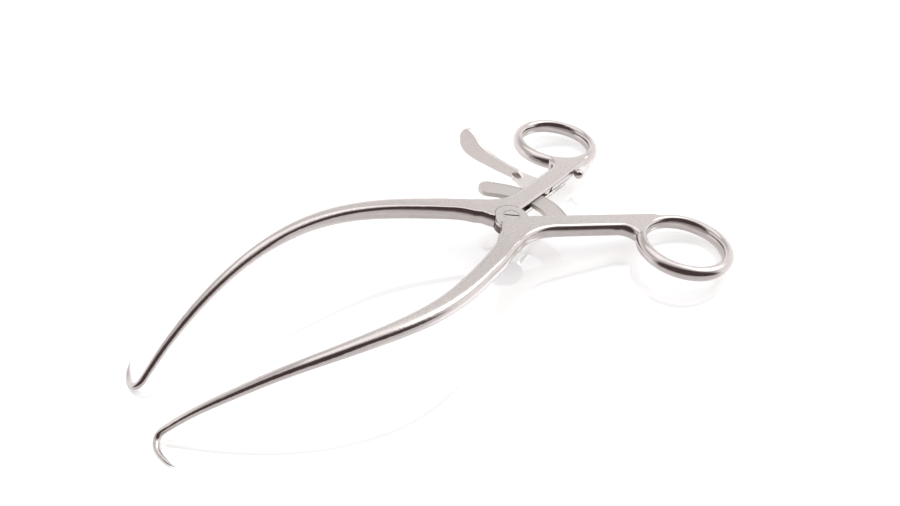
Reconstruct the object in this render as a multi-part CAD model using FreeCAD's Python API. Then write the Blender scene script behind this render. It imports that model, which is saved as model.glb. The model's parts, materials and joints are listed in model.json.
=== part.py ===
import FreeCAD, Part
import math
import os

from FreeCAD import Vector

# A self-retaining retractor: two ring-handled levers turn on one screw, a toothed bar on
# the near lever runs through a slot in the far lever, and a sprung pawl catches it.
# Millimetres. Everything is built in the levers' own frame: the screw's axis is Z, the
# levers' flat top is z = 0, +X points to the rings and +Y to the far lever. At the end
# the whole is tilted and set down so that the prongs and the rings rest on z = 0.

# ---- the levers ----
THICK = 5.0                     # height of the lap joint, shanks and rings
MID_Z = -THICK / 2
DISC_R = 5.3                    # each lever's half-thickness disc at the joint
LAP_GAP = 0.06                  # clearance all round the lap joint
SHANK_ANGLE = 20.9              # inner edge of a shank, degrees from the centre line
SHANK_OFFSET = 0.45             # where that edge's line crosses x = 0
SHANK_WIDTH = 6.1
CROTCH_R = 17.4                 # concave curve from the shank's outer edge to the arm's
CROTCH_ALONG = 13.8             # where that curve meets the shank
ARM_ANGLE = 150.2               # direction in which the arm leaves the joint
ROOT_WIDTH = 7.7                # arm where it leaves the joint
ROOT_STRAIGHT = 0.8             # the joint's sides run straight for this much before the arm
OUTER_ROUND = 1.3               # edge rounds, outside and inside
INNER_ROUND = 0.5

# ---- the finger rings ----
RING_ALONG = 54.2               # ring centre, along the shank's inner edge and off it
RING_OFF = 15.3
RING_HOLE_R = 12.6
RING_WALL = 3.1
RING_OUTER_ROUND = 2.0
RING_INNER_ROUND = 1.0
WEB_START = 35.0                # the shank's outer edge curves out to the ring from here
WEB_R = 5.0
WEB_TURN = 62.0                 # degrees
WEB_RUN = 8.5                   # straight run through the ring's wall, trimmed by its hole
SHANK_END = 49.0                # the inner edge runs on to the ring's crest from here

# ---- arm and prong: centre (x, y, z), width, height, outer and inner corner rounds ----
ARM = [
    ((-10.2, 11.7, -2.6), 6.4, 5.1, 1.6, 0.5),
    ((-20.0, 17.2, -3.0), 5.9, 5.3, 1.9, 0.7),
    ((-31.5, 22.3, -3.4), 5.6, 5.3, 2.0, 1.0),
    ((-45.0, 26.0, -3.9), 5.2, 5.0, 2.1, 1.5),
    ((-59.0, 26.7, -5.0), 4.8, 4.4, 2.0, 1.8),
    ((-73.5, 24.8, -7.9), 4.1, 3.7, 1.75, 1.7),
    ((-88.0, 20.9, -13.0), 3.4, 3.1, 1.48, 1.48),
    ((-100.5, 16.5, -19.7), 2.8, 2.7, 1.28, 1.28),
    ((-109.8, 12.6, -26.1), 2.4, 2.3, 1.1, 1.1),
    ((-115.4, 10.2, -31.0), 2.2, 2.1, 1.0, 1.0),
    ((-117.8, 9.9, -33.1), 2.1, 2.1, 0.98, 0.98),
    ((-119.0, 11.6, -34.2), 1.9, 1.9, 0.88, 0.88),
    ((-119.1, 14.6, -34.7), 1.55, 1.55, 0.72, 0.72),
    ((-118.2, 18.0, -34.6), 1.05, 1.05, 0.48, 0.48),
    ((-117.0, 20.7, -34.3), 0.45, 0.45, 0.2, 0.2),
]

# ---- pivot screw ----
HEAD_R = 2.6
HEAD_H = 1.3
SCREW_R = 1.6
DRIVE_SLOT = (4.6, 0.55, 0.5)   # length, width, depth
DRIVE_ANGLE = -31.0
RUN_GAP = 0.04                  # radial clearance of running fits

# ---- ratchet bar ----
BAR_TOP = -1.8
BAR_THICK = 1.6
BAR_R = 16.4                    # centre line: an arc about the screw, then a wider one
BAR_WIDTH = 7.0
BAR_TURN = 30.0                 # the wider arc starts here
BAR_END_R = 30.0
BAR_END_SWEEP = 28.0            # degrees of the wider arc before the round end
BAR_ROOT = -36.0                # blind end inside the near shank
TOOTH_PITCH = 3.4               # degrees
TOOTH_DEPTH = 0.5
TOOTH_FIRST = -17.6
TOOTH_COUNT = 14                # up to the wider arc
END_TEETH = 13                  # on the wider arc
PIN_R = 0.6
PIN_TOP_IN = 0.5                # how far the bar's pins reach into the cheek above it
PIN_PLACES = [(-29.5, 1.8), (-29.5, -1.8)]      # degrees about the screw, off the centre line

# ---- slot through the far shank, and the thicker cheek below it ----
SLOT_START = 7.8
SLOT_END = 38.0
SLOT_TOP = -1.45
SLOT_HEIGHT = 2.3
CHEEK_THICK = 0.9
CHEEK_START = 10.0
CHEEK_END = 37.0

# ---- release pawl, in shank coordinates: along the inner edge, off the inner edge ----
PAWL_PIN = (24.6, 1.9)
PAWL_PIN_R = 0.8
PAWL_PIN_TOP = -0.7
PAWL_BOSS_R = 1.9
PAWL_TOP = -1.75
PAWL_THICK = 1.7
NOSE_R = 20.32                  # the nose's distance from the screw, clear of every crest
NOSE_OFF = 4.6
BLADE_THICK = 1.3
BLADE_ALONG = 24.5
BLADE_BOW_R = 300.0             # the thumb blade bows slightly, seen from above

# ---- leaf spring, and the ball-headed stud that holds its end ----
SPRING_IN = 0.05                # the spring's inner face, off the shank's inner edge
SPRING_THICK = 0.45
SPRING_TOP = -1.7
SPRING_HEIGHT = 1.8
SPRING_START = 27.0
SPRING_END = 45.0
SPRING_ROOM = 0.05
STUD_ALONG = 42.6
STUD_BALL_R = 1.75
STUD_NECK_R = 0.75
STUD_DEPTH = 3.2

# ---- how it lies ----
TILT = 9.5                      # levers' plane to the surface, degrees


def polar(radius, degrees, z=0.0):
    angle = math.radians(degrees)
    return Vector(radius * math.cos(angle), radius * math.sin(angle), z)


ALONG = polar(1, SHANK_ANGLE)
OFF = polar(1, SHANK_ANGLE + 90)
SHANK_START = Vector(0, SHANK_OFFSET, 0)


def shank(along, off, z=0.0):
    """A point given along and off the far shank's inner edge."""
    return SHANK_START + ALONG * along + OFF * off + Vector(0, 0, z)


def prism(wire, z_top, height):
    face = Part.Face(wire)
    face.translate(Vector(0, 0, z_top - height))
    return face.extrude(Vector(0, 0, height))


def mirrored(shape):
    return shape.mirror(Vector(0, 0, 0), Vector(0, 1, 0))


def cylinder(radius, z_top, height, at=Vector(0, 0, 0)):
    return Part.makeCylinder(radius, height, Vector(at.x, at.y, z_top - height))


# ---- outline of the joint and shank, seen from above ----

ROOT_OUT = polar(1, ARM_ANGLE - 90)


def crotch_centre():
    """Centre of the concave curve between the shank's outer edge and the arm's."""
    off = SHANK_WIDTH + CROTCH_R
    return shank(CROTCH_ALONG, off)


def line(a, b):
    return Part.LineSegment(a, b).toShape()


def lines(points):
    return [line(a, b) for a, b in zip(points, points[1:])]


def web_outline():
    """The curve from the shank's outer edge to the ring, and its straight run."""
    turn = math.radians(WEB_TURN)
    def on_arc(angle):
        return shank(WEB_START + WEB_R * math.sin(angle),
                     SHANK_WIDTH + WEB_R * (1 - math.cos(angle)))

    top = on_arc(turn)
    end = top + (ALONG * math.cos(turn) + OFF * math.sin(turn)) * WEB_RUN
    return [Part.Arc(on_arc(0), on_arc(turn / 2), top).toShape(), line(top, end)], end


def joint_outline():
    """Outline edges whose rims get the outer round, the inner round and none; the arm's end."""
    centre = crotch_centre()
    run = polar(ROOT_STRAIGHT, ARM_ANGLE)
    arm_out = centre - ROOT_OUT * CROTCH_R
    arm_in = arm_out - ROOT_OUT * ROOT_WIDTH
    ends = (arm_out + run, arm_in + run)
    shank_out = centre - OFF * CROTCH_R
    middle = centre - (ROOT_OUT + OFF).normalize() * CROTCH_R
    web, web_end = web_outline()
    ring_foot = shank(RING_ALONG, 2.1)
    disc_foot = Vector(-4.6, 1.3, 0)
    inner_foot = arm_in - run * 0.5

    outer = [line(ends[0], arm_out), Part.Arc(arm_out, middle, shank_out).toShape(),
             line(shank_out, shank(WEB_START, SHANK_WIDTH))] + web
    inner = lines([ring_foot, shank(SHANK_END, 0), shank(3.5, 0)])
    inner += [Part.Arc(disc_foot, Vector(-6.0, 3.0, 0), inner_foot).toShape(), line(inner_foot, ends[1])]
    plain = lines([web_end, shank(RING_ALONG - 4, RING_OFF - 9), ring_foot])
    plain += [line(shank(3.5, 0), disc_foot), line(*ends)]
    return outer, inner, plain, ends


def rims(solid, outline):
    """The solid's top and bottom edges that lie over the given outline edges."""
    found = []
    for edge in solid.Edges:
        box = edge.BoundBox
        if box.ZLength > 0.01 or min(abs(box.ZMax), abs(box.ZMin + THICK)) > 0.01:
            continue
        middle = edge.valueAt((edge.FirstParameter + edge.LastParameter) / 2)
        spot = Part.Vertex(middle.x, middle.y, 0)
        if min(known.distToShape(spot)[0] for known in outline) < 0.01:
            found.append(edge)
    return found


def along_off(point):
    rel = point - SHANK_START
    return rel.dot(ALONG), rel.dot(OFF)


def joint_block():
    outer, inner, plain, ends = joint_outline()
    block = prism(Part.Wire(Part.__sortEdges__(outer + inner + plain)), 0, THICK)
    block = block.makeFillet(OUTER_ROUND, rims(block, outer))
    block = block.makeFillet(INNER_ROUND, rims(block, inner))
    return block, ends


# ---- arm and prong ----

def arm_section(centre, side, up, width, height, round_out, round_in):
    """A rounded rectangle: side points to its outer edge and up to its top."""
    def at(u, v):
        return centre + side * u + up * v

    half_w = width / 2
    half_h = height / 2
    bend = 1 - math.sqrt(0.5)
    corners = [(1, 1, round_out), (1, -1, round_out), (-1, -1, round_in), (-1, 1, round_in)]
    arcs = []
    for index, (u, v, r) in enumerate(corners):
        on_top = at(u * (half_w - r), v * half_h)
        on_side = at(u * half_w, v * (half_h - r))
        middle = at(u * (half_w - r * bend), v * (half_h - r * bend))
        ends = (on_top, middle, on_side) if index % 2 == 0 else (on_side, middle, on_top)
        arcs.append(ends)
    edges = []
    for index, ends in enumerate(arcs):
        edges.append(Part.Arc(*ends).toShape())
        following = arcs[(index + 1) % 4][0]
        edges.append(line(ends[2], following))
    return Part.Wire(edges)


def arm_solid(ends):
    first = (ends[0] + ends[1]) * 0.5 + Vector(0, 0, MID_Z)
    points = [first] + [Vector(*row[0]) for row in ARM]
    sizes = [(ROOT_WIDTH, THICK, OUTER_ROUND, INNER_ROUND)] + [row[1:] for row in ARM]
    path = Part.BSplineCurve()
    path.interpolate(Points=points, InitialTangent=polar(1, ARM_ANGLE),
                     FinalTangent=Vector(0.45, 0.89, 0.1))
    wires = []
    for index, point in enumerate(points):
        here = path.parameter(point)
        steps = [0.0] if index == len(points) - 1 else [0.0, 0.5]
        for step in steps:
            if step:
                there = path.parameter(points[index + 1])
                size = [(a + b) / 2 for a, b in zip(sizes[index], sizes[index + 1])]
            else:
                there = here
                size = sizes[index]
            value = here + (there - here) * step
            ahead = Vector(*path.tangent(value)[0])
            side = Vector(ahead.y, -ahead.x, 0).normalize()
            wires.append(arm_section(path.value(value), side, side.cross(ahead), *size))
    return Part.makeLoft(wires, True, False)


# ---- finger ring ----

def ring_centre():
    return shank(RING_ALONG, RING_OFF)


def turned(profile, at):
    face = Part.Face(profile)
    face.translate(at)
    return face.revolve(at, Vector(0, 0, 1), 360)


def corner(r_centre, z_centre, radius, start, stop):
    def at(degrees):
        angle = math.radians(degrees)
        return Vector(r_centre + radius * math.cos(angle), 0, z_centre + radius * math.sin(angle))
    return at(start), Part.Arc(at(start), at((start + stop) / 2), at(stop)).toShape(), at(stop)


def ring_inner_corners():
    centre = RING_HOLE_R + RING_INNER_ROUND
    return [corner(centre, -RING_INNER_ROUND, RING_INNER_ROUND, 90, 180),
            corner(centre, RING_INNER_ROUND - THICK, RING_INNER_ROUND, 180, 270)]


def ring_solid():
    outer = RING_HOLE_R + RING_WALL - RING_OUTER_ROUND
    corners = [corner(outer, -RING_OUTER_ROUND, RING_OUTER_ROUND, 0, 90)] + ring_inner_corners()
    corners.append(corner(outer, RING_OUTER_ROUND - THICK, RING_OUTER_ROUND, 270, 360))
    edges = []
    for index, (_, arc, end) in enumerate(corners):
        edges.append(arc)
        edges.append(line(end, corners[(index + 1) % 4][0]))
    return turned(Part.Wire(edges), ring_centre())


def ring_hole():
    """What the ring's inner side leaves open, with its rounded rims."""
    top, bottom = ring_inner_corners()
    inner = RING_HOLE_R + RING_INNER_ROUND
    points = [bottom[2], Vector(inner, 0, -THICK - 1), Vector(0, 0, -THICK - 1),
              Vector(0, 0, 1), Vector(inner, 0, 1), top[0]]
    edges = [top[1], line(top[2], bottom[0]), bottom[1]] + lines(points)
    return turned(Part.Wire(Part.__sortEdges__(edges)), ring_centre())


def plain_lever():
    """The far lever before its joint is halved and its slot is cut."""
    block, ends = joint_block()
    block = block.cut(ring_hole())
    lever = block.fuse([ring_solid(), arm_solid(ends)])
    return lever.removeSplitter()


def joined(lever, own_top):
    """Halve the joint: own_top keeps the upper disc, otherwise the lower one."""
    room_r = DISC_R + LAP_GAP
    half = LAP_GAP / 2
    if own_top:
        disc = cylinder(DISC_R, 0, -MID_Z - half)
        room = cylinder(room_r, MID_Z + half, THICK)
    else:
        disc = cylinder(DISC_R, MID_Z - half, -MID_Z - half)
        room = cylinder(room_r, 1, 1 - MID_Z + half)
    return lever.cut(room).fuse(disc).removeSplitter()


# ---- pivot screw ----

def pivot_screw():
    screw = cylinder(HEAD_R, 0, HEAD_H).fuse(cylinder(SCREW_R, -HEAD_H, THICK - HEAD_H))
    length, width, depth = DRIVE_SLOT
    slot = Part.makeBox(length, width, depth + 1, Vector(-length / 2, -width / 2, -depth))
    slot.rotate(Vector(0, 0, 0), Vector(0, 0, 1), DRIVE_ANGLE)
    return screw.cut(slot)


def screw_room():
    """The near disc's hole for the screw, with running clearance."""
    head = cylinder(HEAD_R + RUN_GAP, 1, 1 + HEAD_H + RUN_GAP)
    return head.fuse(cylinder(SCREW_R + RUN_GAP, 0, THICK))


# ---- ratchet bar ----

def arc_band(centre, radius, start, stop):
    """Outline edges of a curved band of the bar's width."""
    inner = radius - BAR_WIDTH / 2
    outer = radius + BAR_WIDTH / 2
    middle = (start + stop) / 2
    def at(r, degrees):
        return centre + polar(r, degrees)
    edges = [
        Part.Arc(at(inner, start), at(inner, middle), at(inner, stop)).toShape(),
        line(at(inner, stop), at(outer, stop)),
        Part.Arc(at(outer, stop), at(outer, middle), at(outer, start)).toShape(),
        line(at(outer, start), at(inner, start)),
    ]
    return prism(Part.Wire(edges), BAR_TOP, BAR_THICK)


def tooth_cut(centre, crest_r, start, pitch):
    """One saw-tooth gap: steep towards the near lever, a ramp the other way."""
    over = 0.4
    points = [
        centre + polar(crest_r - TOOTH_DEPTH, start + pitch),
        centre + polar(crest_r + over, start + pitch),
        centre + polar(crest_r + over, start),
        centre + polar(crest_r, start),
    ]
    return prism(Part.makePolygon(points + points[:1]), BAR_TOP + 0.5, BAR_THICK + 1)


def ratchet_bar():
    bend = polar(BAR_R, BAR_TURN)
    far_centre = bend - polar(BAR_END_R, BAR_TURN)
    end_turn = BAR_TURN + BAR_END_SWEEP
    end = far_centre + polar(BAR_END_R, end_turn)
    bar = arc_band(Vector(0, 0, 0), BAR_R, BAR_ROOT, BAR_TURN)
    bar = bar.fuse([arc_band(far_centre, BAR_END_R, BAR_TURN, end_turn),
                    cylinder(BAR_WIDTH / 2, BAR_TOP, BAR_THICK, end)]).removeSplitter()
    crest = BAR_R + BAR_WIDTH / 2
    cuts = []
    for index in range(TOOTH_COUNT):
        cuts.append(tooth_cut(Vector(0, 0, 0), crest, TOOTH_FIRST + index * TOOTH_PITCH,
                              TOOTH_PITCH))
    far_crest = BAR_END_R + BAR_WIDTH / 2
    far_pitch = TOOTH_PITCH * crest / far_crest
    for index in range(END_TEETH):
        cuts.append(tooth_cut(far_centre, far_crest, BAR_TURN + index * far_pitch, far_pitch))
    return bar.cut(cuts)


def bar_pins():
    pins = [cylinder(PIN_R, BAR_TOP + PIN_TOP_IN, THICK + BAR_TOP + PIN_TOP_IN,
                     polar(BAR_R + offset, turn)) for turn, offset in PIN_PLACES]
    return Part.makeCompound(pins)


# ---- release pawl ----

def crest_clear(off):
    """Where, along the shank, the pawl's nose clears the tooth crests."""
    pivot_along, pivot_off = along_off(Vector(0, 0, 0))
    return pivot_along + math.sqrt(NOSE_R ** 2 - (off - pivot_off) ** 2)


def pawl_plate():
    pin_along, pin_off = PAWL_PIN
    low_nose = (crest_clear(NOSE_OFF - 0.35), NOSE_OFF - 0.35)
    high_nose = (crest_clear(NOSE_OFF + 0.35), NOSE_OFF + 0.35)
    tail = SPRING_IN + SPRING_THICK
    front = [low_nose, high_nose, (19.6, 7.6), (22.2, 12.4)]
    back = [(26.9, 12.8), (27.7, 7.3), (28.4, 5.0), (29.4, 2.6), (29.4, tail), (26.8, tail)]
    boss = [(pin_along, pin_off - PAWL_BOSS_R), (pin_along - PAWL_BOSS_R, pin_off)]
    points = [shank(*pair) for pair in front + back]
    foot = shank(*boss[0])
    heel = shank(*boss[1])
    end_middle = shank(BLADE_ALONG + 0.3, 15.0)
    edges = lines(points[:4])
    edges.append(Part.Arc(points[3], end_middle, points[4]).toShape())
    edges += lines(points[4:] + [foot])
    turn = PAWL_BOSS_R * math.sqrt(0.5)
    edges.append(Part.Arc(foot, shank(pin_along - turn, pin_off - turn), heel).toShape())
    edges.append(line(heel, points[0]))
    return prism(Part.Wire(edges), PAWL_TOP, PAWL_THICK)


def blade_side():
    """The thumb blade's outline: off the shank and up."""
    low = [(13.6, -3.7), (20.4, -3.8), (27.0, -3.5), (32.7, -2.8), (36.2, -1.0), (37.5, 2.2)]
    high = [(35.4, 7.3), (33.4, 6.5), (30.4, 3.9), (25.7, 1.6), (19.0, 0.2), (12.9, -0.1)]
    at = [shank(0, off, z) for off, z in low + high]
    lower = Part.BSplineCurve()
    lower.interpolate(at[:len(low)])
    upper = Part.BSplineCurve()
    upper.interpolate(at[len(low):])
    tip = shank(0, 37.0, 6.0)
    foot = [at[-1], shank(0, 10.8, PAWL_TOP), shank(0, 10.8, PAWL_TOP - PAWL_THICK / 2), at[0]]
    edges = [lower.toShape(), Part.Arc(at[len(low) - 1], tip, at[len(low)]).toShape(), upper.toShape()]
    return Part.Face(Part.Wire(edges + lines(foot))).extrude(ALONG * 60)


def blade_bow():
    """A tall curved wall, seen from above a strip that bows towards the prongs."""
    centre = shank(BLADE_ALONG - BLADE_BOW_R, 12.0)
    wall = cylinder(BLADE_BOW_R + BLADE_THICK / 2, 20, 40, centre)
    return wall.cut(cylinder(BLADE_BOW_R - BLADE_THICK / 2, 30, 60, centre))


def release_pawl():
    blade = blade_side().common(blade_bow())
    pawl = pawl_plate().fuse(blade).removeSplitter()
    return pawl.cut(cylinder(PAWL_PIN_R + RUN_GAP, 0, THICK, shank(*PAWL_PIN)))


def pawl_pin():
    length = THICK + CHEEK_THICK + PAWL_PIN_TOP
    return cylinder(PAWL_PIN_R, PAWL_PIN_TOP, length, shank(*PAWL_PIN))


# ---- leaf spring and its stud ----

def shank_box(along, off, top):
    """A box between two places along, two places off the inner edge, and two heights."""
    corners = [shank(along[0], off[0]), shank(along[1], off[0]), shank(along[1], off[1]),
               shank(along[0], off[1])]
    return prism(Part.makePolygon(corners + corners[:1]), top[0], top[0] - top[1])


def spring_stud():
    start = shank(STUD_ALONG, 0, MID_Z)
    ball = Part.makeSphere(STUD_BALL_R, start - OFF * STUD_BALL_R)
    neck = Part.makeCylinder(STUD_NECK_R, STUD_BALL_R + STUD_DEPTH, start - OFF * STUD_BALL_R, OFF)
    return ball.fuse(neck).removeSplitter()


def pawl_spring():
    strip = shank_box((SPRING_START, SPRING_END), (SPRING_IN, SPRING_IN + SPRING_THICK),
                      (SPRING_TOP, SPRING_TOP - SPRING_HEIGHT))
    return strip.cut(spring_stud())


# ---- the two levers with their machining ----

def near_lever(plain, bar, pins):
    lever = joined(mirrored(plain), True)
    return lever.cut([screw_room(), bar] + pins.Solids)


def far_lever(plain, screw, pin, stud):
    lever = joined(plain, False)
    cheek = shank_box((CHEEK_START, CHEEK_END), (0, SHANK_WIDTH), (MID_Z - 1.4, -THICK - CHEEK_THICK))
    long_edges = [edge for edge in cheek.Edges if edge.Length > CHEEK_END - CHEEK_START - 0.1
                  and edge.BoundBox.ZMax < -THICK]
    cheek = cheek.makeFillet(0.8, long_edges)
    lever = lever.fuse(cheek).removeSplitter()
    slot = shank_box((SLOT_START, SLOT_END), (-4, SHANK_WIDTH + 4), (SLOT_TOP, SLOT_TOP - SLOT_HEIGHT))
    seat = shank_box((SLOT_END - 1, SPRING_END + SPRING_ROOM), (-1, SPRING_IN + SPRING_THICK),
                     (SPRING_TOP + SPRING_ROOM, SPRING_TOP - SPRING_HEIGHT - SPRING_ROOM))
    return lever.cut([slot, seat, screw, pin, stud])


# ---- build, set down and write ----

plain = plain_lever()
screw = pivot_screw()
bar = ratchet_bar()
pins = bar_pins()
pin = pawl_pin()
stud = spring_stud()
nodes = {
    "near_lever": near_lever(plain, bar, pins),
    "far_lever": far_lever(plain, screw, pin, stud),
    "pivot_screw": screw,
    "ratchet_bar": bar.cut(pins.Solids),
    "bar_pins": pins,
    "release_pawl": release_pawl(),
    "pawl_pin": pin,
    "pawl_spring": pawl_spring(),
    "spring_stud": stud,
}

os.makedirs("parts", exist_ok=True)
whole = Part.makeCompound(list(nodes.values()))
whole.rotate(Vector(0, 0, 0), Vector(0, 1, 0), TILT)
box = whole.optimalBoundingBox(False)
down = Vector(-(box.XMin + box.XMax) / 2, -(box.YMin + box.YMax) / 2, -box.ZMin)
print("pivot top at", down, "size", box.XLength, box.YLength, box.ZLength)
for name, shape in nodes.items():
    shape.rotate(Vector(0, 0, 0), Vector(0, 1, 0), TILT)
    shape.translate(down)
    print(name, shape.isValid(), len(shape.Solids), round(shape.Volume, 1))
    shape.exportStep("parts/" + name + ".step")
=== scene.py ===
import json
import math

import bmesh
import bpy
from bpy.props import FloatProperty, FloatVectorProperty, IntProperty, PointerProperty
from mathutils import Matrix, Vector


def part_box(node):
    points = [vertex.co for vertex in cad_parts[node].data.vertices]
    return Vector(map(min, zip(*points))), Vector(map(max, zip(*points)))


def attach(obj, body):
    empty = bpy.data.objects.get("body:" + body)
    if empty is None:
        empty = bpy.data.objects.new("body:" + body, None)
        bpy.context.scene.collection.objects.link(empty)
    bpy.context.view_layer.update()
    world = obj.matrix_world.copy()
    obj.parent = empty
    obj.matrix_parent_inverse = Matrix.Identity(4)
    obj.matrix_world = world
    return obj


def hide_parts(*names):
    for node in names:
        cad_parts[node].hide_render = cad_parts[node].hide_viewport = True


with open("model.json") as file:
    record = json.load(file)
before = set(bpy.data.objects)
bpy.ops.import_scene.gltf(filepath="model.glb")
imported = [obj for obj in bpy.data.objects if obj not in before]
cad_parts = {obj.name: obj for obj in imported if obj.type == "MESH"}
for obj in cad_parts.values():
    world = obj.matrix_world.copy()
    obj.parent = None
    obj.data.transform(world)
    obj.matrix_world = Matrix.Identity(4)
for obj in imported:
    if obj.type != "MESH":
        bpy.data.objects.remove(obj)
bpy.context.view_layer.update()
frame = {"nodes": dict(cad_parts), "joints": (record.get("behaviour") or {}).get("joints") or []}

bl_info = {
    "name": "Self-retaining retractor",
    "version": (1, 0, 0),
    "blender": (4, 5, 0),
    "location": "3D View > Sidebar > Retractor",
    "description": "Ring-handled steel retractor with a ratchet bar and a sprung release pawl",
    "category": "Object",
}

# One millimetre in metres.
MM = 0.001

# The levers' own frame: the screw's axis is Z, the flat tops are z = 0, in millimetres.
HINGE = next(joint for joint in frame["joints"] if joint["name"] == "lever_hinge")
UP = Vector(HINGE["axis"])
LEVER_THICK = 5.0
TOP_CENTRE = Vector(HINGE["pos_m"]) + UP * (LEVER_THICK / 2000)
LEVER_X = Vector((UP.z, 0, -UP.x))
LEVER_TURN = Matrix((LEVER_X, Vector((0, 1, 0)), UP)).transposed().to_4x4()
PLACE = Matrix.Translation(TOP_CENTRE) @ LEVER_TURN @ Matrix.Scale(MM, 4)

# Degrees: an edge that turns by more than its piece's angle stays sharp.
MACHINED_TURN = 38.0
FORGED_TURN = 32.0
STUD_TURN = 40.0
TOOTH_TURN = 25.0
# Degrees: an edge that turns by more than BEVEL_TURN gets a small round, and faces that turn by
# less than FLAT_TURN become one.
BEVEL_TURN = 35.0
FLAT_TURN = 0.3
# Distance in metres at which the corners of a CAD mesh's loose triangles are one.
MERGE = 2e-7

# Millimetres: radii about the screw inside which each lever's steel gets painted shade, in the gap beside the
# part that turns in it, and the width over which that shade fades out.
SCREW_SHADE = 2.62
DISC_SHADE = 5.38
SHADE_FADE = 0.14
# How level a corner is where the polish ends and where the matte flat is whole.
POLISH_ENDS = 0.955
MATTE_STARTS = 0.998
# Tilt of the side walls' shading, and the part of it that leans every wall upwards.
WALL_LEAN = 0.5
WALL_BIAS = 0.35
# Lever thicknesses below the flats: where the tilt has gone, and the depth over which it fades.
DROP_END = 1.4
DROP_FADE = 0.4

# Millimetres: the broken edges of the machined pieces.
PLATE_EDGE = 0.09
PAWL_EDGE = 0.16
SCREW_EDGE = 0.1
PIN_EDGE = 0.08
SPRING_EDGE = 0.04
# Millimetres above a turned part's centre: painted shade in the screw's slot darkens the screw's steel from
# SLOT_TOP down, over SLOT_FADE. NO_SLOT is below every part, so that nothing is dark.
SLOT_TOP = -0.1
SLOT_FADE = 0.15
NO_SLOT = -9.0
# Millimetres: the teeth's broken edge, flat crest, depth inside the plate and overlap along it.
TOOTH_EDGE = 0.07
TOOTH_CREST = 0.09
TOOTH_SUNK = 0.35
TOOTH_OVERLAP = 0.02

# Metres: how deep the steel's fine relief seems.
RELIEF = 0.00002
# Noise values between which a speckle goes from its first colour to its second.
SPECKLE = (0.3, 0.7)

# The ways to the bright patch and to the dim side of the room. The bands are cosines: of the
# angle from straight up for the first two, and from those two ways for the others.
BRIGHT_WAY = (0.62, -0.1, 0.7)
DIM_WAY = (-0.51, -0.86, 0)
LOW_BAND = (0.3, 0.6)
HIGH_BAND = (0.65, 0.9)
BRIGHT_BAND = (0.91, 0.965)
DIM_BAND = (0.12, 0.42)
# Metres: the overhead light.
SOFTBOX_SIZE = (0.9, 0.7)
SOFTBOX_PLACE = (0.15, 0.35, 0.95)


# ---------------------------------------------------------------- settings

class RetractorBar(bpy.types.PropertyGroup):
    radius: FloatProperty(name="Radius", default=16.4,
                          description="Centre line of the bar, an arc about the screw (mm)")
    width: FloatProperty(name="Width", description="Width of the bar, crest to inner edge (mm)", default=7.0)
    top: FloatProperty(name="Top", default=-1.8,
                       description="Height of the bar's top from the levers' flats (mm)")
    thick: FloatProperty(name="Thickness", description="Thickness of the bar (mm)", default=1.6)
    root: FloatProperty(name="Root", default=-36.0,
                        description="Blind end of the bar, about the screw (degrees)")
    turn: FloatProperty(name="Turn", description="Where the wider end arc starts (degrees)", default=30.0)
    end_radius: FloatProperty(name="End radius", description="Centre line of the end arc (mm)", default=30.0)
    end_sweep: FloatProperty(name="End sweep", description="Length of the end arc (degrees)", default=28.0)
    first_tooth: FloatProperty(name="First tooth", default=-17.6,
                               description="Where the teeth start (degrees)")
    pitch: FloatProperty(name="Pitch", description="Tooth pitch on the main arc (degrees)", default=3.4)
    depth: FloatProperty(name="Depth", description="Depth of a tooth gap (mm)", default=0.5)
    teeth: IntProperty(name="Teeth", description="Teeth on the main arc", default=14)
    end_teeth: IntProperty(name="End teeth", description="Teeth on the end arc", default=13)


class RetractorFinish(bpy.types.PropertyGroup):
    satin: FloatVectorProperty(name="Satin steel", description="Colour of the matte flats", subtype="COLOR",
                               default=(0.575, 0.53, 0.51), min=0, max=1)
    polished: FloatVectorProperty(name="Polished steel", description="Colour of the polished rounds",
                                  subtype="COLOR", default=(0.54, 0.495, 0.483), min=0, max=1)
    dull: FloatVectorProperty(name="Dull steel", description="Colour of the screw, pins and spring",
                              subtype="COLOR", default=(0.5, 0.475, 0.46), min=0, max=1)
    # Painted shade: the dark colour painted in the gaps round the screw and the disc, and at half strength in
    # the screw's slot.
    seam: FloatVectorProperty(name="Seam", description="Colour of the dark line round a turning part",
                              subtype="COLOR", default=(0.12, 0.1, 0.095), min=0, max=1)
    satin_rough: FloatProperty(name="Satin roughness", default=0.31,
                               description="Roughness of the matte flats")
    polished_rough: FloatProperty(name="Polished roughness", default=0.17,
                                  description="Roughness of the rounds")
    grain: FloatProperty(name="Grain", description="Grains per millimetre on the flats", default=2.6)
    mottle: FloatProperty(name="Mottle", description="Soft patches per millimetre on the flats", default=0.35)


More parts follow.
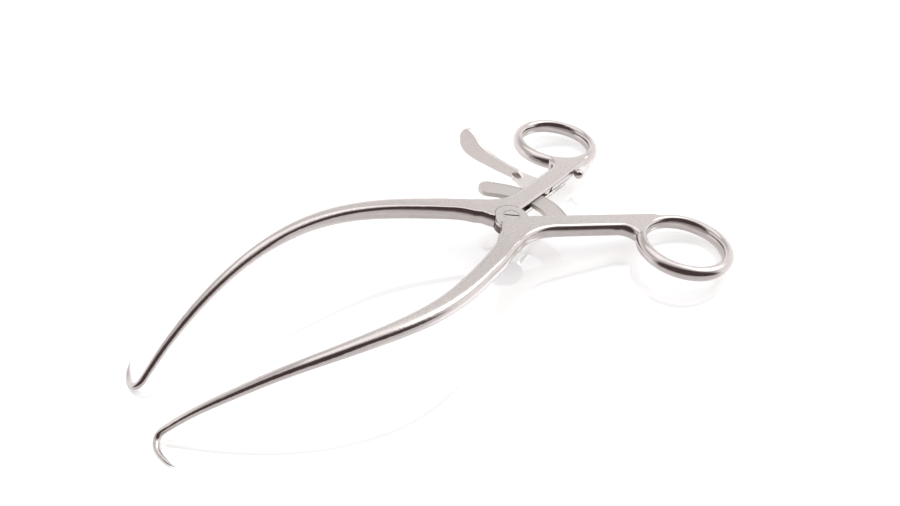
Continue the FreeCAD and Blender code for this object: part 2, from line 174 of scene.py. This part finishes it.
class RetractorStage(bpy.types.PropertyGroup):
    camera: FloatVectorProperty(name="Camera", description="Where the camera stands", subtype="TRANSLATION",
                                unit="LENGTH", default=(-0.085553, -0.15827, 0.181993))
    forward: FloatVectorProperty(name="Looking", description="The way the camera looks", subtype="DIRECTION",
                                 default=(0.374914, 0.629198, -0.680845))
    right: FloatVectorProperty(name="Right", description="The camera's right", subtype="DIRECTION",
                               default=(0.848076, -0.529408, -0.022247))
    lens: FloatProperty(name="Lens", description="Focal length on a 36 mm sensor (mm)", default=32.13)
    horizon: FloatProperty(name="Horizon", description="Brightness of the surround low down", default=1.35)
    low_light: FloatProperty(name="Low light", default=0.79,
                             description="Brightness of the surround half-way up")
    overhead: FloatProperty(name="Overhead", description="Brightness of the surround overhead", default=1.0)
    high_light: FloatProperty(name="High light", default=3.0,
                              description="Brightness of the patch high on one side")
    dark_side: FloatVectorProperty(name="Dark side", description="Colour of the unlit side of the room",
                                   subtype="COLOR", default=(0.1, 0.072, 0.07), min=0, max=1)
    softbox: FloatProperty(name="Softbox", description="Power of the large overhead light (W)", default=1.5)
    floor: FloatVectorProperty(name="Floor", description="Colour of the table", subtype="COLOR",
                               default=(0.7, 0.7, 0.705), min=0, max=1)
    gloss: FloatProperty(name="Gloss", description="Index of refraction of the table's polish", default=3.2)
    glow: FloatProperty(name="Glow", description="Light that the table gives off itself", default=0.46)
    floor_size: FloatProperty(name="Floor size", default=1.6, unit="LENGTH",
                              description="Half the table's side")


# ---------------------------------------------------------------- shader tools

class Wave:
    """A shader socket that takes part in Python expressions."""

    def __init__(self, shader, socket):
        self.shader = shader
        self.socket = socket

    def _math(self, operation, *values):
        return self.shader.node("ShaderNodeMath", {"operation": operation}, *values)

    def __add__(self, other):
        return self._math("ADD", self, other)

    def __radd__(self, other):
        return self._math("ADD", other, self)

    def __sub__(self, other):
        return self._math("SUBTRACT", self, other)

    def __rsub__(self, other):
        return self._math("SUBTRACT", other, self)

    def __mul__(self, other):
        return self._math("MULTIPLY", self, other)

    def step(self, low, high):
        """0 below low, 1 above high, and smooth between."""
        return self.shader.node("ShaderNodeMapRange", {"interpolation_type": "SMOOTHSTEP"},
                                Value=self, **{"From Min": low, "From Max": high})


class Shader:
    """A node-based material or world, built by expressions."""

    def __init__(self, owner):
        owner.use_nodes = True
        self.tree = owner.node_tree
        self.tree.nodes.clear()

    def add(self, kind, settings, *places, **names):
        """A node, with its settings and then its sockets set by place or by identifier."""
        made = self.tree.nodes.new(kind)
        for key, value in settings.items():
            setattr(made, key, value)
        by_name = {socket.identifier: socket for socket in made.inputs}
        chosen = list(zip(made.inputs, places)) + [(by_name[key], names[key]) for key in names]
        for socket, value in chosen:
            if isinstance(value, Wave):
                self.tree.links.new(value.socket, socket)
            else:
                socket.default_value = value
        return made

    def node(self, kind, settings, *places, output=None, **names):
        """The first output, or the one with this identifier, of a new node."""
        outputs = self.add(kind, settings, *places, **names).outputs
        if output is None:
            return Wave(self, outputs[0])
        return Wave(self, next(socket for socket in outputs if socket.identifier == output))

    def vector(self, operation, *values, output="Vector"):
        return self.node("ShaderNodeVectorMath", {"operation": operation}, *values, output=output)

    def millimetres(self):
        """The place on the piece, in millimetres."""
        metres = self.node("ShaderNodeTexCoord", {}, output="Object")
        return self.vector("MULTIPLY", metres, (1000, 1000, 1000))

    def noise(self, where, scale, detail):
        return self.node("ShaderNodeTexNoise", {}, Vector=where, Scale=scale, Detail=detail)

    def mix(self, share, first, second):
        """Colour first where share is 0 and second where it is 1."""
        return self.node("ShaderNodeMix", {"data_type": "RGBA"}, output="Result_Color",
                         Factor_Float=share, A_Color=first, B_Color=second)

    def steel(self, colour, rough, height, strength):
        """Bare metal, with a fine relief from height."""
        relief = self.node("ShaderNodeBump", {}, Height=height, Strength=strength, Distance=RELIEF,
                           output="Normal")
        surface = self.node("ShaderNodeBsdfPrincipled", {}, **{
            "Base Color": colour, "Roughness": rough, "Metallic": 1.0, "Normal": relief})
        self.add("ShaderNodeOutputMaterial", {}, Surface=surface)


def rgba(colour, gain=1.0):
    """An opaque colour, made lighter or darker by the gain."""
    return tuple(min(1.0, channel * gain) for channel in colour[:3]) + (1.0,)


def new_material(name):
    """An empty material and the shader that fills it."""
    material = bpy.data.materials.new(name)
    return material, Shader(material)


def from_screw(shader, where):
    """Distance from the screw's axis in millimetres."""
    off = shader.vector("SUBTRACT", where, tuple(TOP_CENTRE * 1000))
    side = shader.vector("CROSS_PRODUCT", off, tuple(UP))
    return shader.vector("LENGTH", side, output="Value")


def lever_steel(name, seam):
    """Matte flats with a fine grain and polished rounds, by the level attribute, and painted shade inside the
    given radius about the screw.
    """
    finish = bpy.context.scene.retractor_finish
    material, shader = new_material(name)
    where = shader.millimetres()
    level = shader.node("ShaderNodeAttribute", {"attribute_name": "level"}, output="Fac")
    satin = level.step(POLISH_ENDS, MATTE_STARTS)
    grain = shader.noise(where, finish.grain, 4.0)
    patch = shader.noise(where, finish.mottle, 3.0)
    # Painted shade: 0 inside the radius about the screw, where the gap beside the turning part is painted
    # dark, and 1 outside it.
    outside_shade = from_screw(shader, where).step(seam, seam + SHADE_FADE)
    flat = shader.mix(grain.step(*SPECKLE), rgba(finish.satin, 0.88), rgba(finish.satin, 1.11))
    round_ = shader.mix(patch.step(*SPECKLE), rgba(finish.polished, 0.97), rgba(finish.polished, 1.02))
    colour = shader.mix(outside_shade, rgba(finish.seam), shader.mix(satin, round_, flat))
    flat_rough = finish.satin_rough + (grain - 0.5) * 0.2 + (patch - 0.5) * 0.05
    round_rough = finish.polished_rough + (patch - 0.5) * 0.06
    rough = satin * flat_rough + (1 - satin) * round_rough
    shader.steel(colour, rough, grain * satin, 0.2)
    return material


def satin_steel(name, gain, rough, strength=0.2):
    """Evenly matte steel with a fine grain."""
    finish = bpy.context.scene.retractor_finish
    material, shader = new_material(name)
    where = shader.millimetres()
    grain = shader.noise(where, finish.grain, 4.0)
    patch = shader.noise(where, finish.mottle, 2.0)
    dark, light = rgba(finish.satin, gain * 0.94), rgba(finish.satin, gain * 1.05)
    colour = shader.mix(grain.step(*SPECKLE), dark, light)
    shader.steel(colour, rough + (grain - 0.5) * 0.18 + (patch - 0.5) * 0.05, grain, strength)
    return material


def polished_steel(name):
    """Bright steel with faint soft patches."""
    finish = bpy.context.scene.retractor_finish
    material, shader = new_material(name)
    patch = shader.noise(shader.millimetres(), 0.8, 3.0)
    colour = shader.mix(patch, rgba(finish.polished, 0.96), rgba(finish.polished, 1.03))
    shader.steel(colour, finish.polished_rough + (patch - 0.5) * 0.1, patch, 0.05)
    return material


def turned_steel(name, centre, slot=NO_SLOT):
    """Dull steel with fine rings left by turning about centre, and painted shade below the height called
    slot.
    """
    finish = bpy.context.scene.retractor_finish
    material, shader = new_material(name)
    at = tuple(centre * 1000)
    where = shader.millimetres()
    mapping = shader.node("ShaderNodeMapping", {"vector_type": "TEXTURE"}, where, at,
                          tuple(LEVER_TURN.to_euler()), (1, 1, 1))
    rings = shader.node("ShaderNodeTexWave", {"wave_type": "RINGS", "rings_direction": "Z"}, Vector=mapping,
                        Scale=2.2, Distortion=0.6, output="Fac")
    off = shader.vector("SUBTRACT", where, at)
    height = shader.vector("DOT_PRODUCT", off, tuple(UP), output="Value")
    turned = shader.mix(rings, rgba(finish.dull, 1.05), rgba(finish.dull, 1.22))
    # Painted shade: below the slot height the steel takes the painted shade colour at half strength.
    colour = shader.mix(height.step(slot - SLOT_FADE, slot), rgba(finish.seam, 0.5), turned)
    shader.steel(colour, 0.3 + rings * 0.08, rings, 0.15)
    return material


def ground_steel(name):
    """Spring strip with fine grinding lines along it."""
    finish = bpy.context.scene.retractor_finish
    material, shader = new_material(name)
    squeeze = (0.3, 0.3, 9.0)
    along = shader.node("ShaderNodeMapping", {}, shader.millimetres(), (0, 0, 0), (0, 0, 0), squeeze)
    lines = shader.noise(along, 1.0, 4.0)
    colour = shader.mix(lines, rgba(finish.dull, 0.85), rgba(finish.dull, 1.05))
    shader.steel(colour, 0.25 + lines * 0.2, lines, 0.2)
    return material


# ---------------------------------------------------------------- mesh tools

def link(mesh, name):
    """Puts a mesh in the scene as an object."""
    piece = bpy.data.objects.new(name, mesh)
    bpy.context.scene.collection.objects.link(piece)
    return piece


def settle(piece):
    """Turns what the modifiers make of the piece into its plain mesh."""
    seen = piece.evaluated_get(bpy.context.evaluated_depsgraph_get())
    mesh = bpy.data.meshes.new_from_object(seen)
    piece.modifiers.clear()
    piece.data = mesh
    return piece


def set_edges(mesh, degrees):
    """Smooth shading, with the edges that turn by more than this kept sharp."""
    mesh.shade_smooth()
    work = bmesh.new()
    work.from_mesh(mesh)
    for edge in work.edges:
        turn = edge.calc_face_angle(math.pi)
        edge.smooth = turn < math.radians(degrees)
    work.to_mesh(mesh)
    work.free()


def even_normals(piece):
    """Lets the large faces lead the shading, so that flats look flat up to their rounds."""
    weigh = piece.modifiers.new("normals", "WEIGHTED_NORMAL")
    weigh.keep_sharp = True
    weigh.weight = 50
    return settle(piece)


def merged_copy(node, name, flatten):
    """A closed, merged copy of a CAD node's mesh, with flat areas as single faces if asked."""
    mesh = frame["nodes"][node].data.copy()
    mesh.materials.clear()
    work = bmesh.new()
    work.from_mesh(mesh)
    bmesh.ops.remove_doubles(work, verts=work.verts, dist=MERGE)
    if flatten:
        bmesh.ops.dissolve_limit(work, angle_limit=math.radians(FLAT_TURN), verts=work.verts,
                                 edges=work.edges)
    work.to_mesh(mesh)
    work.free()
    mesh.name = name
    return link(mesh, name)


def eased(piece, width):
    """Breaks the piece's sharp edges with a small round, width in millimetres."""
    bevel = piece.modifiers.new("eased edges", "BEVEL")
    bevel.width = width * MM
    bevel.segments = 2
    bevel.limit_method = "ANGLE"
    bevel.angle_limit = math.radians(BEVEL_TURN)
    bevel.use_clamp_overlap = True
    bevel.miter_outer = "MITER_ARC"
    return settle(piece)


def finish_piece(piece, material, body, node):
    """Gives a plain mesh its material and its body, and hides the CAD node that it stands for."""
    piece.data.materials.clear()
    piece.data.materials.append(material)
    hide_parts(node)
    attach(piece, body)


def machined(node, name, material, body, width):
    """A CAD node's shape with eased edges and even shading."""
    piece = eased(merged_copy(node, name, True), width)
    set_edges(piece.data, MACHINED_TURN)
    finish_piece(even_normals(piece), material, body, node)


def mark_level(mesh):
    """Writes how level each corner is: 1 on faces square to the screw, 0 on side walls."""
    attribute = mesh.attributes.new("level", "FLOAT", "CORNER")
    levels = [abs(normal.vector.dot(UP)) for normal in mesh.corner_normals]
    attribute.data.foreach_set("value", levels)


def crown_walls(mesh):
    """Tilts the shading of the flat side walls, up at their tops and down at their bottoms.

    The bias leans the whole wall upwards. The shape stays flat; only the look is rounded."""
    normals = []
    for loop, normal in zip(mesh.loops, mesh.corner_normals):
        height = (mesh.vertices[loop.vertex_index].co - TOP_CENTRE).dot(UP) * 1000
        side = WALL_BIAS + min(1.0, max(-1.0, 1 + 2 * height / LEVER_THICK))
        in_plane = min(1.0, max(0.0, (height + DROP_END * LEVER_THICK) / (DROP_FADE * LEVER_THICK)))
        wall = 1 - abs(normal.vector.dot(UP))
        normals.append((normal.vector + UP * (WALL_LEAN * side * in_plane * wall)).normalized())
    mesh.normals_split_custom_set(normals)


def prism_mesh(name, outline, top, thick):
    """A plate from an outline in the levers' frame."""
    work = bmesh.new()
    upper = [work.verts.new((x, y, top)) for x, y in outline]
    lower = [work.verts.new((x, y, top - thick)) for x, y in outline]
    work.faces.new(upper)
    work.faces.new(list(reversed(lower)))
    count = len(outline)
    for index in range(count):
        following = (index + 1) % count
        work.faces.new((upper[following], upper[index], lower[index], lower[following]))
    bmesh.ops.recalc_face_normals(work, faces=work.faces)
    work.transform(PLACE)
    mesh = bpy.data.meshes.new(name)
    work.to_mesh(mesh)
    work.free()
    return mesh


# ---------------------------------------------------------------- ratchet bar

def arc(centre, radius, start, stop, steps):
    """Points along an arc, in the levers' frame and in degrees."""
    points = []
    for index in range(steps + 1):
        angle = math.radians(start + (stop - start) * index / steps)
        points.append((centre[0] + radius * math.cos(angle), centre[1] + radius * math.sin(angle)))
    return points


def end_centre(bar):
    """Centre of the end arc, which carries on smoothly from the main one."""
    return arc((0, 0), bar.radius - bar.end_radius, bar.turn, bar.turn, steps=1)[0]


def bar_outline(bar):
    """The bar's plate, cut back to the tooth roots where it has teeth."""
    half = bar.width / 2
    far = end_centre(bar)
    stop = bar.turn + bar.end_sweep
    end = arc(far, bar.end_radius, stop, stop, steps=1)[0]
    end_pitch = bar.pitch * (bar.radius + half) / (bar.end_radius + half)
    toothed = bar.turn + bar.end_teeth * end_pitch
    crest, far_crest = bar.radius + half, bar.end_radius + half
    outline = arc((0, 0), bar.radius - half, bar.root, bar.turn, steps=40)
    outline += arc(far, bar.end_radius - half, bar.turn, stop, steps=20)[1:]
    outline += arc(end, half, stop + 180, stop, steps=24)[1:]
    outline += arc(far, far_crest, stop, toothed, steps=2)[1:]
    outline += arc(far, far_crest - bar.depth, toothed, bar.turn, steps=40)
    outline += arc((0, 0), crest - bar.depth, bar.turn, bar.first_tooth, steps=60)[1:]
    outline += arc((0, 0), crest, bar.first_tooth, bar.root, steps=16)
    return outline


def tooth_mesh(bar):
    """One saw tooth about its crest: X points out and Y along the bar, steep at y = 0."""
    run = math.radians(bar.pitch) * (bar.radius + bar.width / 2) + TOOTH_OVERLAP
    sunk = -bar.depth - TOOTH_SUNK
    work = bmesh.new()
    levels = []
    for z, inset in ((0, TOOTH_EDGE), (-TOOTH_EDGE, 0), (TOOTH_EDGE - bar.thick, 0),
                     (-bar.thick, TOOTH_EDGE)):
        tip = -inset
        ring = [(sunk, 0.0), (tip, 0.0), (tip, TOOTH_CREST)]
        for share in (0.5, 1.0):
            ring.append((tip - bar.depth * share, TOOTH_CREST + (run - TOOTH_CREST) * share))
        ring.append((sunk, run))
        levels.append([work.verts.new((x, y, bar.top + z)) for x, y in ring])
    for upper, lower in zip(levels, levels[1:]):
        for index in range(len(upper)):
            following = (index + 1) % len(upper)
            work.faces.new((upper[index], upper[following], lower[following], lower[index]))
    work.faces.new(list(reversed(levels[0])))
    work.faces.new(levels[-1])
    bmesh.ops.recalc_face_normals(work, faces=work.faces)
    mesh = bpy.data.meshes.new("ratchet tooth")
    work.to_mesh(mesh)
    work.free()
    return mesh


def teeth_tree():
    """Geometry nodes that set a tooth at even turns along an arc."""
    tree = bpy.data.node_groups.new("ratchet teeth", "GeometryNodeTree")
    face = tree.interface
    face.new_socket("Geometry", in_out="OUTPUT", socket_type="NodeSocketGeometry")
    for name, kind in (("Tooth", "Object"), ("Centre", "Vector"), ("Crest radius", "Float"),
                       ("First angle", "Float"), ("Pitch angle", "Float"), ("Teeth", "Int"),
                       ("Finish", "Material")):
        face.new_socket(name, in_out="INPUT", socket_type="NodeSocket" + kind)

    def node(kind, settings, *places, **names):
        """The first output of a new node, with its sockets set by place or by name."""
        made = tree.nodes.new(kind)
        for key, value in settings.items():
            setattr(made, key, value)
        for key, value in list(enumerate(places)) + list(names.items()):
            tree.links.new(value, made.inputs[key])
        return made.outputs[0]

    given = tree.nodes.new("NodeGroupInput").outputs
    row = node("GeometryNodeMeshLine", {}, Count=given["Teeth"])
    index = node("GeometryNodeInputIndex", {})
    turned = node("ShaderNodeMath", {"operation": "MULTIPLY_ADD"}, index, given["Pitch angle"],
                  given["First angle"])
    across = node("ShaderNodeMath", {"operation": "COSINE"}, turned)
    up = node("ShaderNodeMath", {"operation": "SINE"}, turned)
    way = node("ShaderNodeCombineXYZ", {}, X=across, Y=up)
    reach = node("ShaderNodeVectorMath", {"operation": "SCALE"}, way, Scale=given["Crest radius"])
    place = node("ShaderNodeVectorMath", {"operation": "ADD"}, reach, given["Centre"])
    points = node("GeometryNodeSetPosition", {}, Geometry=row, Position=place)
    angle = node("ShaderNodeCombineXYZ", {}, Z=turned)
    pattern = tree.nodes.new("GeometryNodeObjectInfo")
    tree.links.new(given["Tooth"], pattern.inputs["Object"])
    teeth = node("GeometryNodeInstanceOnPoints", {}, Points=points, Instance=pattern.outputs["Geometry"],
                 Rotation=angle)
    real = node("GeometryNodeRealizeInstances", {}, teeth)
    painted = node("GeometryNodeSetMaterial", {}, Geometry=real, Material=given["Finish"])
    out = tree.nodes.new("NodeGroupOutput")
    tree.links.new(painted, out.inputs[0])
    return tree


def toothed_row(tree, name, inputs):
    """The plain mesh that the teeth tree makes of these inputs."""
    piece = link(bpy.data.meshes.new(name), name)
    row = piece.modifiers.new("teeth", "NODES")
    row.node_group = tree
    for item in tree.interface.items_tree:
        if item.in_out == "INPUT":
            row[item.identifier] = inputs[item.name]
    return settle(piece)


class RETRACTOR_OT_ratchet_bar(bpy.types.Operator):
    """Make the curved ratchet bar and its row of saw teeth"""
    bl_idname = "retractor.ratchet_bar"
    bl_label = "Ratchet bar"

    def execute(self, context):
        bar = context.scene.retractor_bar
        material = satin_steel("retractor bar steel", 0.97, 0.36)
        name = "ratchet_bar_plate"
        plate = eased(link(prism_mesh(name, bar_outline(bar), bar.top, bar.thick), name), PLATE_EDGE)
        set_edges(plate.data, MACHINED_TURN)
        finish_piece(even_normals(plate), material, "near", "ratchet_bar")

        half = bar.width / 2
        crest = bar.radius + half
        far_crest = bar.end_radius + half
        pitch = math.radians(bar.pitch)
        tooth = link(tooth_mesh(bar), "tooth_pattern")
        tree = teeth_tree()
        shared = {"Tooth": tooth, "Finish": material}
        main = toothed_row(tree, "ratchet_teeth", {
            **shared, "Centre": (0, 0, 0), "Crest radius": crest,
            "First angle": math.radians(bar.first_tooth), "Pitch angle": pitch, "Teeth": bar.teeth})
        end = toothed_row(tree, "end_teeth", {
            **shared, "Centre": (*end_centre(bar), 0), "Crest radius": far_crest,
            "First angle": math.radians(bar.turn), "Pitch angle": pitch * crest / far_crest,
            "Teeth": bar.end_teeth})
        work = bmesh.new()
        work.from_mesh(main.data)
        work.from_mesh(end.data)
        work.transform(PLACE)
        work.to_mesh(main.data)
        work.free()
        set_edges(main.data, TOOTH_TURN)
        finish_piece(main, material, "near", "ratchet_bar")
        for spare in (end, tooth):
            bpy.data.objects.remove(spare)
        return {"FINISHED"}


# ---------------------------------------------------------------- other pieces

class RETRACTOR_OT_levers(bpy.types.Operator):
    """Finish the two forged levers with matte flats and polished rounds"""
    bl_idname = "retractor.levers"
    bl_label = "Levers"

    def execute(self, context):
        # Each lever, its body and the radius about the screw inside which its steel gets painted shade.
        for node, body, seam in (("near_lever", "near", SCREW_SHADE), ("far_lever", "far", DISC_SHADE)):
            material = lever_steel("retractor " + node.replace("_", " ") + " steel", seam)
            piece = merged_copy(node, node + "_forging", False)
            set_edges(piece.data, FORGED_TURN)
            even_normals(piece)
            mark_level(piece.data)
            crown_walls(piece.data)
            finish_piece(piece, material, body, node)
        return {"FINISHED"}


class RETRACTOR_OT_release_pawl(bpy.types.Operator):
    """Finish the release pawl and its thumb blade"""
    bl_idname = "retractor.release_pawl"
    bl_label = "Release pawl"

    def execute(self, context):
        # Painted light: a lighter copy of the satin steel, so that the pawl's upright blade looks brightly
        # lit.
        material = satin_steel("retractor pawl steel", 1.16, 0.3, 0.08)
        machined("release_pawl", "thumb_pawl", material, "pawl", PAWL_EDGE)
        return {"FINISHED"}


class RETRACTOR_OT_fasteners(bpy.types.Operator):
    """Finish the screw, the pins and the ball-headed stud"""
    bl_idname = "retractor.fasteners"
    bl_label = "Fasteners"

    def execute(self, context):
        # The screw's steel gets painted shade in its slot, below SLOT_TOP.
        screw = turned_steel("retractor screw steel", TOP_CENTRE, SLOT_TOP)
        machined("pivot_screw", "slotted_screw", screw, "far", SCREW_EDGE)
        low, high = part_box("pawl_pin")
        pin = turned_steel("retractor pin steel", (low + high) / 2)
        machined("pawl_pin", "pawl_rivet", pin, "far", PIN_EDGE)
        rivet = satin_steel("retractor rivet steel", 0.9, 0.3)
        machined("bar_pins", "bar_rivets", rivet, "near", PIN_EDGE)
        stud = merged_copy("spring_stud", "ball_stud", False)
        set_edges(stud.data, STUD_TURN)
        bright = polished_steel("retractor stud steel")
        finish_piece(even_normals(stud), bright, "far", "spring_stud")
        return {"FINISHED"}


class RETRACTOR_OT_leaf_spring(bpy.types.Operator):
    """Finish the leaf spring that presses the pawl to the teeth"""
    bl_idname = "retractor.leaf_spring"
    bl_label = "Leaf spring"

    def execute(self, context):
        strip = ground_steel("retractor spring steel")
        machined("pawl_spring", "leaf_spring", strip, "far", SPRING_EDGE)
        return {"FINISHED"}


# ---------------------------------------------------------------- stage

def table_top(stage):
    """A glossy white table that glows a little, so that it stays white."""
    size = stage.floor_size
    mesh = bpy.data.meshes.new("table")
    corners = [(-size, -size, 0), (size, -size, 0), (size, size, 0), (-size, size, 0)]
    mesh.from_pydata(corners, [], [(0, 1, 2, 3)])
    table = link(mesh, "table")
    material, shader = new_material("glossy white table")
    cloud = shader.noise(shader.millimetres(), 0.02, 2.0)
    surface = shader.node("ShaderNodeBsdfPrincipled", {}, **{
        "Base Color": rgba(stage.floor), "Roughness": 0.04 + cloud * 0.03, "IOR": stage.gloss,
        "Emission Color": (1, 1, 1, 1), "Emission Strength": stage.glow})
    shader.add("ShaderNodeOutputMaterial", {}, Surface=surface)
    mesh.materials.append(material)


def surround(stage):
    """A white surround with a bright patch high on one side and a dim, warm side.

    The steel shows them as white and dark bands. The background itself is plain white."""
    world = bpy.data.worlds.new("studio")
    bpy.context.scene.world = world
    shader = Shader(world)
    way = shader.node("ShaderNodeTexCoord", {}, output="Generated")

    def towards(*aim):
        return shader.vector("DOT_PRODUCT", way, tuple(Vector(aim).normalized()), output="Value")

    levels = (stage.horizon, stage.low_light, stage.overhead, stage.high_light)
    horizon, low, overhead, high = [(value, value, value, 1) for value in levels]
    height = towards(0, 0, 1)
    sides = shader.mix(height.step(*LOW_BAND), horizon, low)
    sky = shader.mix(height.step(*HIGH_BAND), sides, overhead)
    bright = shader.mix(towards(*BRIGHT_WAY).step(*BRIGHT_BAND), sky, high)
    colour = shader.mix(towards(*DIM_WAY).step(*DIM_BAND), bright, rgba(stage.dark_side))
    seen = shader.node("ShaderNodeLightPath", {}, output="Is Camera Ray")
    light = shader.node("ShaderNodeBackground", {}, shader.mix(seen, colour, (1, 1, 1, 1)))
    shader.add("ShaderNodeOutputWorld", {}, Surface=light)


def softbox(stage):
    """A large weak light overhead that faces the origin."""
    lamp = bpy.data.lights.new("overhead", "AREA")
    lamp.energy = stage.softbox
    lamp.shape = "RECTANGLE"
    lamp.size, lamp.size_y = SOFTBOX_SIZE
    box = bpy.data.objects.new("overhead", lamp)
    bpy.context.scene.collection.objects.link(box)
    box.location = SOFTBOX_PLACE
    box.rotation_mode = "QUATERNION"
    box.rotation_quaternion = (-Vector(SOFTBOX_PLACE)).to_track_quat("-Z", "Y")


def camera(stage):
    """The camera, from its place, the way it looks and its right."""
    lens = bpy.data.cameras.new("camera")
    lens.sensor_width = 36
    lens.lens = stage.lens
    lens.clip_start = 0.01
    lens.clip_end = 20
    eye = bpy.data.objects.new("camera", lens)
    bpy.context.scene.collection.objects.link(eye)
    forward = Vector(stage.forward).normalized()
    right = Vector(stage.right).normalized()
    axes = Matrix((right, right.cross(forward), -forward)).transposed()
    eye.matrix_world = Matrix.Translation(Vector(stage.camera)) @ axes.to_4x4()
    bpy.context.scene.camera = eye


class RETRACTOR_OT_stage(bpy.types.Operator):
    """Make the white table, the light and the camera"""
    bl_idname = "retractor.stage"
    bl_label = "Stage"

    def execute(self, context):
        stage = context.scene.retractor_stage
        table_top(stage)
        surround(stage)
        softbox(stage)
        camera(stage)
        context.scene.view_settings.view_transform = "Standard"
        return {"FINISHED"}


class RETRACTOR_PT_panel(bpy.types.Panel):
    """The retractor's sizes, finishes and pieces"""
    bl_idname = "RETRACTOR_PT_panel"
    bl_label = "Retractor"
    bl_space_type = "VIEW_3D"
    bl_region_type = "UI"
    bl_category = "Retractor"

    def draw(self, context):
        layout = self.layout
        for operator in OPERATORS:
            layout.operator(operator.bl_idname)
        for name in GROUPS:
            group = getattr(context.scene, name)
            column = layout.box().column()
            for setting in group.__annotations__:
                column.prop(group, setting)


GROUPS = {
    "retractor_bar": RetractorBar,
    "retractor_finish": RetractorFinish,
    "retractor_stage": RetractorStage,
}
OPERATORS = (RETRACTOR_OT_levers, RETRACTOR_OT_ratchet_bar, RETRACTOR_OT_release_pawl,
             RETRACTOR_OT_fasteners, RETRACTOR_OT_leaf_spring, RETRACTOR_OT_stage)


def register():
    for name, group in GROUPS.items():
        bpy.utils.register_class(group)
        setattr(bpy.types.Scene, name, PointerProperty(type=group))
    for item in OPERATORS + (RETRACTOR_PT_panel,):
        bpy.utils.register_class(item)


def unregister():
    for item in reversed(OPERATORS + (RETRACTOR_PT_panel,)):
        bpy.utils.unregister_class(item)
    for name, group in GROUPS.items():
        delattr(bpy.types.Scene, name)
        bpy.utils.unregister_class(group)


def main():
    register()
    for operator in OPERATORS:
        group, name = operator.bl_idname.split(".")
        getattr(getattr(bpy.ops, group), name)()
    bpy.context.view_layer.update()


if __name__ == "__main__":
    main()
